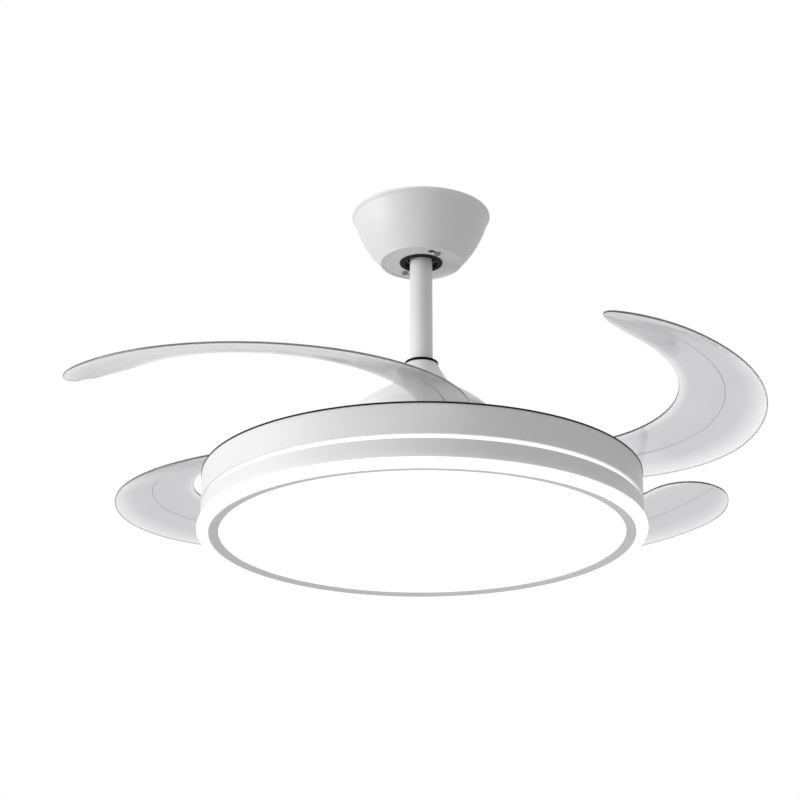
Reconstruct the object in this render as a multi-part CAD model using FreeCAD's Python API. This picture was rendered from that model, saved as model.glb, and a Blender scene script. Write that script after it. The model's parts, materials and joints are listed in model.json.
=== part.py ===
"""Retractable blade ceiling fan with a round light.

Millimetres, +Z up. The origin is the middle of the hanger bracket's top face, which lies on the ceiling.
Four sickle blades are stored as they fly, swung out. They fold in over the lamp about upright pins.
"""

import FreeCAD
import Part
import math
import os

from FreeCAD import Vector

os.makedirs("parts", exist_ok=True)

# Driving dimensions: lamp
LAMP_BASE = -395.5          # height of the lamp's lower rim below the ceiling
LAMP_R = 246.0              # outside radius of the metal bands
LAMP_HEIGHT = 68.5
RIM_OVERHANG = 4.0          # how far the glowing rim stands out past the bands
RIM_HEIGHT = 9.0
BAND_HEIGHT = 20.8          # lower metal band
HALO_HEIGHT = 5.2           # lit groove between the bands
HALO_DEPTH = 3.0
SHEET = 1.5                 # pressed steel of the lamp
BAND_SHEET = 2.0            # wall of the two bands
SKIRT_INSET = 9.0           # from the bands in to the skirt that carries the rings
SKIRT_SHEET = 2.5
TRIM_WIDTH = 11.5           # grey ring between the rim and the diffuser
TRIM_DEPTH = 4.4            # grey ring at its outer edge, below the skirt
TRIM_SLOPE = 2.0            # how far its face rises to the diffuser
DIFFUSER_CROWN = 3.0
DIFFUSER_WALL = 2.5
STRIP_HEIGHT = 1.2          # black edge strip on top of the lamp
STRIP_WIDTH = 5.0
RIB_INSET = 30.0            # from the motor's side out to the rib on the lamp's top
RIB_WIDTH = 4.0
RIB_HEIGHT = 0.8
PANEL_INSET = 20.5          # from the diffuser's edge in to the LED panel
PANEL_SHEET = 1.6
CHIP_ROWS = 3
CHIP_ROW = 58.0             # spacing of the rows of diodes
CHIP = 5.0
DRIVER_LENGTH = 110.0
DRIVER_WIDTH = 46.0
DRIVER_HEIGHT = 22.0
DRIVER_OFFSET = 85.0        # from the axis to the driver's middle
FIT = 0.1                   # radial clearance of pieces fixed to each other
RUN = 0.3                   # clearance of pieces that move past each other

# Driving dimensions: hanger, canopy and rod
CANOPY_R = 80.0
CANOPY_FACE_R = 47.0
CANOPY_DEPTH = 61.0
CANOPY_WALL = 1.5
CANOPY_BULGE = 3.3          # how far the side bows out
CANOPY_HOLE_R = 23.0
COLLAR_BORE_R = 19.0
KEYHOLE_PCR = 33.0          # radius of the canopy screws about the axis
KEYHOLE_ANGLE = -55.0
BALL_R = 24.0
BALL_Z = -38.0
BRACKET_LENGTH = 104.0
BRACKET_WIDTH = 36.0
BRACKET_SHEET = 2.5
SADDLE_Z = -56.0
SADDLE_SHEET = 3.0
SADDLE_R = 37.0
SLOT_SPACING = 80.0
SLOT_LENGTH = 16.0
SLOT_R = 3.2
ROD_R = 13.0
ROD_WALL = 2.0
ROD_END = -212.0
BELL_TOP = -187.6
BELL_TOP_R = 18.6
BELL_END = -217.0
BELL_END_R = 36.0
SEAL_HEIGHT = 2.2
SHAFT_R = 9.0
SHAFT_BORE_R = 5.5
COUPLING_R = 16.0
COUPLING_END = -231.0
PIN_R = 3.0

# Driving dimensions: motor and blade hub
MOTOR_R = 85.0
MOTOR_WALL = 3.0
DOME_TOP = -219.0
DOME_EDGE = -254.0
DOME_SHOULDER = 17.5        # level of the dome's middle below its top
HUB_PLATE = 3.0
HUB_MARGIN = 12.0           # from the pins out to the hub plates' edge
HUB_BITE_R = 78.0           # scallops in the hub plates between the pins
HUB_BITE = 16.0
HUB_LOWER = -318.0          # underside of the lower hub plate
BEARING_R = 16.0
BEARING_HEIGHT = 8.0
BEARING_DROP = 24.0         # upper bearing below the dome's top
STATOR_STACK = 24.0
STATOR_LIFT = 10.0          # stator above the lower bearing
AIR_GAP = 1.2
MAGNET = 10.8               # thickness of the magnets
STATOR_TEETH = 12
BLADES = 4

# Driving dimensions: blades, in the plane seen from above
BLADE_ARC_X = 118.8         # centre of a swung-out blade's arcs, from the fan's axis
BLADE_ARC_Y = -152.7
BLADE_OUTER_R = 250.0       # outer edge, at the ends
BLADE_WAIST = 5.4           # how far the outer edge draws in half way
BLADE_INNER_R = 152.2       # inner edge, at the root
BLADE_INNER_GAIN = 8.3      # how far the inner edge widens to the tip
BLADE_BELLY = 3.9           # how far the inner edge draws in half way
BLADE_TIP_R = 211.3         # middle of the rounded tip
BLADE_ROOT_CUT = 56.5       # how far the outer edge draws in at the root
BLADE_SHEET = 3.0
BLADE_TIP_ANGLE = -73.1
BLADE_ROOT_LAP = 4.0        # how far the sheet runs on past its pin, in degrees
BLADE_LOW = 76.6            # level of the outer edge at the root, above LAMP_BASE
BLADE_RISE = 32.6           # how far the blade climbs from root to tip
BLADE_RISE_POWER = 2.57     # the climb is mostly near the tip
BLADE_PITCH = 0.294         # fall of the blade across its width
BLADE_CREASE = 2.5          # how far the crease stands above the flat
LUG_DROP = 7.0              # underside of a blade's lug below the sheet's inner edge
LUG_HEIGHT = 8.0
LUG_GAP = 1.5               # between a lug and the upper hub plate
LUG_R = 19.0
LUG_LAP = 14.0              # how far the lug's arm runs in under the sheet
BUSH_R = 8.0
POST_R = 5.0
BLADE_TEETH = 24
RING_TEETH = 96
RING_WALL = 11.0            # from the motor's case out to the ring's pitch line
GEAR_HEIGHT = 8.0
BACKLASH = 0.35

# Fasteners and smaller sizes
SCREW_SHANK_R = 2.0
SCREW_HEAD_R = 3.7
SCREW_HEAD = 2.4
CANOPY_GAP = 0.5            # between the canopy's rim and the ceiling
GRUB_R = 2.5
COIL_BUILD = 4.2
LEDGE = 7.0
HUB_SCREW_R = 2.0
SPRING_WIRE = 1.6
SPRING_GAP = 2.0            # above the coil, below the pinion
TIP_START = 0.88            # share of the blade's length where its end starts to round
TIP_BLUNT = 0.08            # width left at the very end, as a share
ROOT_START = 0.457          # share of the length over which the root widens
STATIONS = 13               # sections of the blade before its end
PANEL_POST_R = 4.0
NUT_HEIGHT = 6.0
WASHER = 1.5

# Sizes that follow from the others
AXIS = Vector(0, 0, 1)
ORIGIN = Vector(0, 0, 0)
LAMP_TOP = LAMP_BASE + LAMP_HEIGHT
RIM_R = LAMP_R + RIM_OVERHANG
SKIRT_R = LAMP_R - SKIRT_INSET
DIFFUSER_R = SKIRT_R - TRIM_WIDTH
PANEL_R = DIFFUSER_R - PANEL_INSET
STATOR_R = MOTOR_R - MOTOR_WALL - MAGNET - AIR_GAP
GEAR_MODULE = 2 * (MOTOR_R + RING_WALL) / RING_TEETH
PIVOT_RADIUS = GEAR_MODULE * (RING_TEETH + BLADE_TEETH) / 2
HUB_PLATE_R = PIVOT_RADIUS + HUB_MARGIN
LUG_Z = LAMP_BASE + BLADE_LOW + BLADE_PITCH * (BLADE_OUTER_R - BLADE_INNER_R) - LUG_DROP
HUB_UPPER = LUG_Z + LUG_HEIGHT + LUG_GAP
CANOPY_FACE_Z = -CANOPY_DEPTH + 1.0
COUPLING_PIN_Z = ROD_END + 11.0
COUPLING_TOP = BELL_TOP - SHEET
GRUB_Z = COUPLING_END + 10.0
SHAFT_END = LAMP_TOP - 10.0
BEARING_UPPER = DOME_TOP - BEARING_DROP
BEARING_LOWER = HUB_LOWER + HUB_PLATE + MOTOR_WALL
CASE_SPLIT = HUB_UPPER + HUB_PLATE
STATOR_LOW = BEARING_LOWER + BEARING_HEIGHT + STATOR_LIFT
STATOR_HIGH = STATOR_LOW + STATOR_STACK
WELL_R = COUPLING_R + 5.0
RING_LOW = LUG_Z - GEAR_HEIGHT
HUB_SCREW_PCR = MOTOR_R - 10.0
SPRING_R = POST_R + 4 + RUN
HALO_LOW = LAMP_BASE + RIM_HEIGHT + BAND_HEIGHT
HALO_HIGH = HALO_LOW + HALO_HEIGHT
SKIRT_FOOT = LAMP_BASE + 4.5
PANEL_TOP = HALO_LOW
PANEL_POST_PCR = PANEL_R - CHIP_ROW


def save(name, *solids):
    """Writes one piece, or a group of like pieces, to its own file."""
    shape = solids[0] if len(solids) == 1 else Part.makeCompound(list(solids))
    shape.exportStep("parts/%s.step" % name)


def polar(radius, degrees, z=0.0):
    angle = math.radians(degrees)
    return Vector(radius * math.cos(angle), radius * math.sin(angle), z)


def outline(points):
    """Closed wire in the XZ plane. A point with a third value "via" is the middle of an arc to the next point."""
    places = [Vector(p[0], 0, p[1]) for p in points]
    edges = []
    count = len(points)
    i = 0
    while i < count:
        here, after = places[i], places[(i + 1) % count]
        if len(points[(i + 1) % count]) == 3:
            edges.append(Part.Arc(here, after, places[(i + 2) % count]).toShape())
            i += 2
        else:
            edges.append(Part.LineSegment(here, after).toShape())
            i += 1
    return Part.Wire(edges)


def turned(points):
    """Solid of revolution about the fan's axis from a list of (radius, height)."""
    return Part.Face(outline(points)).revolve(ORIGIN, AXIS, 360)


def ring(inner, outer, low, high):
    return turned([(inner, low), (outer, low), (outer, high), (inner, high)])


def rod(radius, low, high, at=ORIGIN):
    return Part.makeCylinder(radius, high - low, Vector(at.x, at.y, low))


def tube(inner, outer, low, high, at=ORIGIN):
    return rod(outer, low, high, at).cut(rod(inner, low - 1, high + 1, at))


def block(x, y, z):
    """Box between two values along each axis."""
    return Part.makeBox(x[1] - x[0], y[1] - y[0], z[1] - z[0], Vector(x[0], y[0], z[0]))


def around(shape, count, start=0.0):
    """Copies of a shape turned evenly about the fan's axis."""
    copies = []
    for i in range(count):
        copy = shape.copy()
        copy.rotate(ORIGIN, AXIS, start + 360.0 * i / count)
        copies.append(copy)
    return copies


def screw(head_r, head_height, shank_r, low, high, at):
    """Pan head screw, head down, with a cross recess."""
    head = rod(head_r, low, low + head_height, at)
    edge = min(head_r, head_height) * 0.45
    head = head.makeFillet(edge, [head.Edges[i] for i in range(len(head.Edges)) if is_rim(head.Edges[i], low)])
    arm, half = head_r * 0.62, head_r * 0.13
    for long_x, long_y in ((arm, half), (half, arm)):
        slot = block((at.x - long_x, at.x + long_x), (at.y - long_y, at.y + long_y), (low, low + head_height * 0.5))
        head = head.cut(slot)
    return head.fuse(rod(shank_r, low + head_height, high, at)).removeSplitter()


def is_rim(edge, z):
    """True for a closed round edge that lies at height z."""
    return edge.isClosed() and abs(edge.BoundBox.ZMin - z) < 1e-6 and abs(edge.BoundBox.ZMax - z) < 1e-6


# Ceiling mount

def hanger_bracket():
    """Strap against the ceiling, two legs and a saddle with a spherical seat for the ball."""
    half, width = BRACKET_LENGTH / 2, BRACKET_WIDTH / 2
    leg_out = SADDLE_R - 1.5
    leg_in = leg_out - BRACKET_SHEET
    strap = block((-half, half), (-width, width), (-BRACKET_SHEET, 0))
    corners = [e for e in strap.Edges if abs(e.BoundBox.ZLength - BRACKET_SHEET) < 1e-6]
    strap = strap.makeFillet(width * 0.35, corners)
    shape = strap
    leg_y = width * 0.7
    for side in (-1, 1):
        x = sorted((side * leg_in, side * leg_out))
        shape = shape.fuse(block(x, (-leg_y, leg_y), (SADDLE_Z, -BRACKET_SHEET)))
    saddle = rod(SADDLE_R, SADDLE_Z, SADDLE_Z + SADDLE_SHEET)
    shape = shape.fuse(saddle)
    shape = shape.cut(Part.makeSphere(BALL_R + RUN, Vector(0, 0, BALL_Z)))
    shape = shape.cut(rod(ROD_R + 2.5, SADDLE_Z - 1, BALL_Z))
    for side in (-1, 1):
        x = side * SLOT_SPACING / 2
        run = SLOT_LENGTH / 2 - SLOT_R
        hole = block((x - run, x + run), (-SLOT_R, SLOT_R), (-BRACKET_SHEET - 1, 1))
        for end in (-run, run):
            hole = hole.fuse(rod(SLOT_R, -BRACKET_SHEET - 1, 1, Vector(x + end, 0, 0)))
        shape = shape.cut(hole)
        tap = polar(KEYHOLE_PCR, KEYHOLE_ANGLE + (180 if side < 0 else 0))
        shape = shape.cut(rod(SCREW_SHANK_R + FIT, SADDLE_Z - 1, SADDLE_Z + SADDLE_SHEET + 1, tap))
    return shape.removeSplitter()


def canopy():
    """Thin bowl with a beaded rim, a shallow dished face, a hole for the rod and two keyhole slots."""
    wall = CANOPY_WALL
    bead = 4.5
    low, top = -CANOPY_DEPTH, -CANOPY_GAP
    face = CANOPY_FACE_R
    bulge = ((CANOPY_R + face) / 2 + CANOPY_BULGE, low * 0.56)
    shape = turned([
        (CANOPY_R, top), (CANOPY_R + 0.6, top - bead / 2, "via"), (CANOPY_R - 1.0, top - bead),
        (CANOPY_R - 1.8, top - bead - 1.2), (bulge[0], bulge[1], "via"), (face + 1.2, low + 1.6),
        (face, low, "via"), (face - 2.0, low), (face - 3.0, CANOPY_FACE_Z),
        (CANOPY_HOLE_R, CANOPY_FACE_Z), (CANOPY_HOLE_R, CANOPY_FACE_Z + wall),
        (face - 2.2, CANOPY_FACE_Z + wall),
        (bulge[0] - wall, bulge[1] + wall * 0.5, "via"), (CANOPY_R - 1.8 - wall, top - bead - 1.2),
        (CANOPY_R - 1.8 - wall, top),
    ])
    for turn in (0, 180):
        spot = polar(KEYHOLE_PCR, KEYHOLE_ANGLE - 14 + turn)
        seat = polar(KEYHOLE_PCR, KEYHOLE_ANGLE + turn)
        deep, high = CANOPY_FACE_Z - 3, CANOPY_FACE_Z + wall + 1
        hole = rod(SCREW_HEAD_R + 0.6, deep, high, spot)
        neck_r = SCREW_SHANK_R + RUN
        hole = hole.fuse(rod(neck_r, deep, high, seat))
        along = seat - spot
        bar = block((0, along.Length), (-neck_r, neck_r), (deep, high))
        bar.rotate(ORIGIN, AXIS, math.degrees(math.atan2(along.y, along.x)))
        bar.translate(Vector(spot.x, spot.y, 0))
        shape = shape.cut(hole.fuse(bar))
    return shape


def canopy_collar():
    """Black snap ring round the canopy's hole: a rounded lip below and a neck through the sheet."""
    lip = 1.8
    neck = CANOPY_HOLE_R - FIT
    return turned([
        (COLLAR_BORE_R, CANOPY_FACE_Z - lip * 0.5), (COLLAR_BORE_R + lip * 0.5, CANOPY_FACE_Z - lip),
        (neck + 0.6, CANOPY_FACE_Z - lip), (neck + 2.0, CANOPY_FACE_Z - lip * 0.6, "via"),
        (neck + 2.2, CANOPY_FACE_Z), (neck, CANOPY_FACE_Z), (neck, CANOPY_FACE_Z + CANOPY_WALL + 1.0),
        (COLLAR_BORE_R, CANOPY_FACE_Z + CANOPY_WALL + 1.0),
    ])


def canopy_screws():
    return [
        screw(SCREW_HEAD_R, SCREW_HEAD, SCREW_SHANK_R, CANOPY_FACE_Z - SCREW_HEAD,
              SADDLE_Z + SADDLE_SHEET + 2, polar(KEYHOLE_PCR, KEYHOLE_ANGLE + turn))
        for turn in (0, 180)
    ]


def remote_receiver():
    """Radio receiver box screwed under the strap, between the legs."""
    length, width, height = 50.0, 32.0, 10.0
    top = -BRACKET_SHEET
    box = block((-length / 2, length / 2), (-width / 2, width / 2), (top - height, top))
    upright = [e for e in box.Edges if abs(e.BoundBox.ZLength - height) < 1e-6]
    return box.makeFillet(2.5, upright)


def terminal_block():
    """Three-way terminal block on the outside of one leg."""
    depth, width, height = 11.0, 24.0, 12.0
    face = SADDLE_R - 1.5
    top = -30.0
    body = block((face, face + depth), (-width / 2, width / 2), (top - height, top))
    for i in (-1, 0, 1):
        body = body.cut(rod(2.6, top - 4, top + 1, Vector(face + depth / 2, i * width / 3, 0)))
    return body


# Rod, bell and shaft

def hanger_ball():
    ball = Part.makeSphere(BALL_R, Vector(0, 0, BALL_Z))
    keep = rod(BALL_R + 1, BALL_Z - BALL_R * 0.68, BALL_Z + BALL_R * 0.78)
    pin = Part.makeCylinder(PIN_R + FIT, 2 * BALL_R + 2, Vector(0, -BALL_R - 1, BALL_Z), Vector(0, 1, 0))
    return ball.common(keep).cut(rod(ROD_R + FIT, BALL_Z - BALL_R - 1, BALL_Z + BALL_R + 1)).cut(pin)


def downrod():
    tube_shape = tube(ROD_R - ROD_WALL, ROD_R, ROD_END, BALL_Z + BALL_R * 0.78)
    upper = Part.makeCylinder(PIN_R + FIT, 4 * ROD_R, Vector(0, -2 * ROD_R, BALL_Z), Vector(0, 1, 0))
    lower = Part.makeCylinder(PIN_R + FIT, 4 * ROD_R, Vector(-2 * ROD_R, 0, COUPLING_PIN_Z), Vector(1, 0, 0))
    return tube_shape.cut(upper).cut(lower)


def ball_pin():
    half = BALL_R - 2.5
    return Part.makeCylinder(PIN_R, 2 * half, Vector(0, -half, BALL_Z), Vector(0, 1, 0))


def rod_coupling():
    """Sleeve that joins the rod to the motor's hollow shaft, with a cross pin above and grub screws below."""
    sleeve = rod(COUPLING_R, COUPLING_END, COUPLING_TOP)
    sleeve = sleeve.cut(rod(ROD_R + FIT, ROD_END, COUPLING_TOP + 1))
    sleeve = sleeve.cut(rod(SHAFT_R + FIT, COUPLING_END - 1, ROD_END + 1))
    pin = Part.makeCylinder(PIN_R + FIT, 4 * COUPLING_R, Vector(-2 * COUPLING_R, 0, COUPLING_PIN_Z), Vector(1, 0, 0))
    sleeve = sleeve.cut(pin)
    for grub in grub_screws(FIT, COUPLING_R):
        sleeve = sleeve.cut(grub)
    return sleeve


def grub_screws(extra=0.0, longer=0.0):
    start = SHAFT_R + FIT
    length = COUPLING_R - start - 0.8 + longer
    return [
        Part.makeCylinder(GRUB_R + extra, length, Vector(0, side * start, GRUB_Z), Vector(0, side, 0))
        for side in (-1, 1)
    ]


def coupling_pin():
    """Cross pin with a round head at one end."""
    half = COUPLING_R + 2.0
    head = 1.6
    pin = Part.makeCylinder(PIN_R, 2 * half, Vector(-half, 0, COUPLING_PIN_Z), Vector(1, 0, 0))
    return pin.fuse(Part.makeCylinder(PIN_R + 1.6, head, Vector(half, 0, COUPLING_PIN_Z), Vector(1, 0, 0)))


def bell_cover():
    """Flared bell that hides the coupling. Its top flange sits on the coupling."""
    wall = SHEET
    waist = (BELL_TOP_R + BELL_END_R) / 2 - 1.6, (BELL_TOP + BELL_END) / 2
    return turned([
        (ROD_R + FIT, BELL_TOP), (BELL_TOP_R - 1, BELL_TOP), (BELL_TOP_R - 0.2, BELL_TOP - 0.3, "via"),
        (BELL_TOP_R, BELL_TOP - 1), (waist[0], waist[1], "via"), (BELL_END_R, BELL_END),
        (BELL_END_R - wall * 1.2, BELL_END), (waist[0] - wall, waist[1], "via"),
        (BELL_TOP_R - wall, BELL_TOP - wall), (ROD_R + FIT, BELL_TOP - wall),
    ])


def bell_seal():
    """Black rubber ring that closes the bell against the rod."""
    top = BELL_TOP + SEAL_HEIGHT
    return turned([
        (ROD_R + FIT, BELL_TOP), (BELL_TOP_R, BELL_TOP), (BELL_TOP_R + 0.3, BELL_TOP + SEAL_HEIGHT * 0.5, "via"),
        (BELL_TOP_R - 0.6, top), (ROD_R + FIT, top),
    ])


def motor_shaft():
    return tube(SHAFT_BORE_R, SHAFT_R, SHAFT_END, ROD_END)


# Motor


def bearing(low):
    """Ball bearing shown as its ring with grooves between the races."""
    inner = SHAFT_R + FIT / 2
    mid = (inner + BEARING_R) / 2
    shape = ring(inner, BEARING_R, low, low + BEARING_HEIGHT)
    for z in (low, low + BEARING_HEIGHT - 0.8):
        shape = shape.cut(ring(mid - 1.6, mid + 1.6, z, z + 0.8))
    return shape


def stator_core():
    """Laminated core: a hub on the shaft and teeth with wide tips."""
    low, high = STATOR_LOW, STATOR_HIGH
    hub = STATOR_R * 0.42
    shape = ring(SHAFT_R + FIT, hub, low, high)
    neck = STATOR_R * 0.075
    tooth = block((hub - 1, STATOR_R - 4), (-neck, neck), (low, high))
    tip = ring(STATOR_R - 5, STATOR_R, low, high)
    gap = 360.0 / STATOR_TEETH
    wedge = Part.makeCylinder(STATOR_R + 5, high - low, Vector(0, 0, low), AXIS, gap * 0.8)
    wedge.rotate(ORIGIN, AXIS, -gap * 0.4)
    tooth = tooth.fuse(tip.common(wedge))
    return shape.multiFuse(around(tooth, STATOR_TEETH)).removeSplitter()


def stator_coils():
    """One rounded copper coil wound round each tooth."""
    neck = STATOR_R * 0.075 + FIT
    inside, outside = STATOR_R * 0.42 + 2.5, STATOR_R - 6.0
    low, high = STATOR_LOW - FIT, STATOR_HIGH + FIT
    coil = block((inside, outside), (-neck - COIL_BUILD, neck + COIL_BUILD), (low - COIL_BUILD, high + COIL_BUILD))
    along = [e for e in coil.Edges if abs(e.BoundBox.XLength - (outside - inside)) < 1e-6]
    coil = coil.makeFillet(COIL_BUILD * 0.8, along)
    coil = coil.cut(block((inside - 1, outside + 1), (-neck, neck), (low, high)))
    gap = math.tan(math.pi / STATOR_TEETH)
    room = 0.6
    reach = STATOR_R + COIL_BUILD
    foot = low - 2 * COIL_BUILD
    taper = Part.Face(Part.makePolygon([
        Vector(0, 0, foot), Vector(reach, room - reach * gap, foot),
        Vector(reach, reach * gap - room, foot), Vector(0, 0, foot),
    ])).extrude(Vector(0, 0, STATOR_STACK + 4 * COIL_BUILD))
    return around(coil.common(taper), STATOR_TEETH)


def rotor_magnets():
    """Ring of arc magnets inside the motor's case."""
    inner, outer = STATOR_R + AIR_GAP, MOTOR_R - MOTOR_WALL - FIT
    poles = 14
    step = 360.0 / poles
    sector = Part.makeCylinder(outer, STATOR_HIGH - STATOR_LOW, Vector(0, 0, STATOR_LOW), AXIS, step * 0.9)
    sector = sector.cut(rod(inner, STATOR_LOW - 1, STATOR_HIGH + 1))
    return around(sector, poles)


def bearing_cup(floor, inward):
    """Cup that holds a bearing, with a lip on the side away from the case's wall."""
    seat = BEARING_R + FIT
    wall = 2.6
    if inward > 0:
        cup = ring(seat, seat + wall, floor, floor + BEARING_HEIGHT)
    else:
        cup = ring(seat, seat + wall, floor - BEARING_HEIGHT, floor)
        cup = cup.fuse(ring(BEARING_R - 3, seat + wall, floor - BEARING_HEIGHT - 1.6, floor - BEARING_HEIGHT))
    return cup


def motor_upper_case():
    """Domed half of the spinning case, with a well for the coupling and the upper bearing's cup."""
    wall = MOTOR_WALL
    floor = BEARING_UPPER + BEARING_HEIGHT
    shape = turned([
        (WELL_R, DOME_TOP), (BELL_END_R, DOME_TOP), (MOTOR_R * 0.77, DOME_TOP - DOME_SHOULDER, "via"),
        (MOTOR_R, DOME_EDGE), (MOTOR_R, CASE_SPLIT), (MOTOR_R - wall, CASE_SPLIT),
        (MOTOR_R - wall, DOME_EDGE - 1), (MOTOR_R * 0.77 - 2.2, DOME_TOP - DOME_SHOULDER - wall, "via"),
        (WELL_R + wall + 6, DOME_TOP - wall), (WELL_R + wall, DOME_TOP - wall),
        (WELL_R + wall, floor - wall), (BEARING_R + FIT, floor - wall), (BEARING_R + FIT, floor),
        (WELL_R, floor),
    ])
    return shape.fuse(bearing_cup(floor, -1)).removeSplitter()


def motor_lower_case():
    """Lower cup of the case, with a ledge that the synchroniser ring turns on."""
    wall = MOTOR_WALL
    base = HUB_LOWER + HUB_PLATE
    shape = turned([
        (SHAFT_R + 3, base), (MOTOR_R - 3, base), (MOTOR_R, base + 3), (MOTOR_R, RING_LOW - RUN - 3.5),
        (MOTOR_R + LEDGE, RING_LOW - RUN - 3.0), (MOTOR_R + LEDGE, RING_LOW - RUN), (MOTOR_R, RING_LOW - RUN),
        (MOTOR_R, HUB_UPPER), (MOTOR_R - wall, HUB_UPPER), (MOTOR_R - wall, base + wall),
        (SHAFT_R + 3, base + wall),
    ])
    return shape.fuse(bearing_cup(base + wall, 1)).removeSplitter()


# Blade hub

def pivot(number):
    """Pin position of one blade, from its arcs' centre: as far from that centre as from the fan's axis."""
    centre = Vector(BLADE_ARC_X, BLADE_ARC_Y, 0)
    half = centre.Length / 2
    side = Vector(-centre.y, centre.x, 0).normalize()
    place = centre * 0.5 + side * math.sqrt(PIVOT_RADIUS ** 2 - half ** 2)
    spot = Part.Vertex(place)
    spot.rotate(ORIGIN, AXIS, 360.0 * number / BLADES)
    return spot.Point


def hub_plate(inner, low, screws_at):
    """Hub plate with scalloped edges between the pins and lightening holes."""
    shape = ring(inner, HUB_PLATE_R, low, low + HUB_PLATE)
    start = math.degrees(math.atan2(pivot(0).y, pivot(0).x))
    for i in range(BLADES):
        bite = polar(HUB_PLATE_R + HUB_BITE_R - HUB_BITE, start + 45 + 90 * i)
        shape = shape.cut(rod(HUB_BITE_R, low - 1, low + HUB_PLATE + 1, bite))
    for spot in screws_at:
        shape = shape.cut(rod(HUB_SCREW_R + FIT, low - 1, low + HUB_PLATE + 1, spot))
    return shape


def hub_screw_spots():
    return [polar(HUB_SCREW_PCR, 45 * i + 20) for i in range(8)]


def hub_lower_plate():
    return hub_plate(MOTOR_R * 0.5, HUB_LOWER, hub_screw_spots())


def hub_upper_plate():
    return hub_plate(MOTOR_R - MOTOR_WALL, HUB_UPPER, [])


def hub_screws():
    """Pan head screws that hold the lower plate to the case, heads below."""
    return [rod(3.4, HUB_LOWER - 1.8, HUB_LOWER, s).fuse(rod(HUB_SCREW_R, HUB_LOWER, HUB_LOWER + HUB_PLATE, s))
            for s in hub_screw_spots()]


def pivot_posts():
    """Upright pins between the hub plates, one to a blade."""
    return [rod(POST_R, HUB_LOWER + HUB_PLATE, HUB_UPPER, pivot(i)) for i in range(BLADES)]


def post_spacers():
    """Sleeves on the pins that set the height of the lugs."""
    sleeves = []
    for i in range(BLADES):
        at = pivot(i)
        sleeves.append(tube(POST_R + FIT, POST_R + 4, HUB_LOWER + HUB_PLATE, RING_LOW - RUN, at))
        sleeves.append(tube(POST_R + FIT, POST_R + 4, LUG_Z + LUG_HEIGHT + RUN, HUB_UPPER, at))
    return sleeves


def return_springs():
    """Plain sleeves in the place of the coil springs that draw the blades in."""
    low, high = HUB_LOWER + HUB_PLATE, RING_LOW - SPRING_GAP
    return [tube(SPRING_R, SPRING_R + SPRING_WIRE, low, high, pivot(i)) for i in range(BLADES)]


# Gears

def gear_outline(teeth, thinner):
    """Spur gear wire about the origin: involute flanks from three points each, thinned by the backlash."""
    pitch_r = teeth * GEAR_MODULE / 2
    base_r = pitch_r * math.cos(math.radians(20))
    tip_r, root_r = pitch_r + 0.9 * GEAR_MODULE, pitch_r - 1.25 * GEAR_MODULE
    half = math.pi / (2 * teeth) - thinner / (2 * pitch_r)
    roll_pitch = involute(pitch_r, base_r)
    points = []
    for tooth in range(teeth):
        mid = 2 * math.pi * tooth / teeth
        flank = []
        for radius in (root_r, max(base_r, root_r + 0.6), pitch_r, tip_r):
            roll = involute(max(radius, base_r), base_r)
            flank.append((radius, half + roll_pitch - roll))
        points += [(r, mid - a) for r, a in flank] + [(r, mid + a) for r, a in reversed(flank)]
    corners = [Vector(r * math.cos(a), r * math.sin(a), 0) for r, a in points]
    return Part.makePolygon(corners + corners[:1])


def involute(radius, base_r):
    """Polar angle of the involute of a base circle at a radius."""
    tangent = math.sqrt(max((radius / base_r) ** 2 - 1, 0))
    return tangent - math.atan(tangent)


def sync_ring():
    """Toothed ring round the motor that makes the four blades swing together."""
    gear = Part.Face(gear_outline(RING_TEETH, BACKLASH)).extrude(Vector(0, 0, GEAR_HEIGHT))
    first = pivot(0)
    gear.rotate(ORIGIN, AXIS, math.degrees(math.atan2(first.y, first.x)))
    gear.translate(Vector(0, 0, RING_LOW))
    return gear.cut(rod(MOTOR_R + RUN, RING_LOW - 1, LUG_Z + 1))


def blade_gear(number):
    """Pinion under a blade's lug. A gap between its teeth faces the ring's tooth."""
    gear = Part.Face(gear_outline(BLADE_TEETH, BACKLASH)).extrude(Vector(0, 0, GEAR_HEIGHT))
    at = pivot(number)
    facing = math.degrees(math.atan2(-at.y, -at.x))
    gear.rotate(ORIGIN, AXIS, facing + 180.0 / BLADE_TEETH)
    gear.translate(Vector(at.x, at.y, RING_LOW))
    return gear.cut(rod(BUSH_R + FIT, RING_LOW - 1, LUG_Z + 1, at))


def blade_bush(number):
    return tube(POST_R + FIT / 2, BUSH_R, RING_LOW, LUG_Z + LUG_HEIGHT, pivot(number))


# Blades


def root_angle():
    """Direction of a blade's root end from its arcs' centre, in degrees: the pin's direction and a lap past it."""
    at = pivot(0)
    return math.degrees(math.atan2(at.y - BLADE_ARC_Y, at.x - BLADE_ARC_X)) + BLADE_ROOT_LAP


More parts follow.
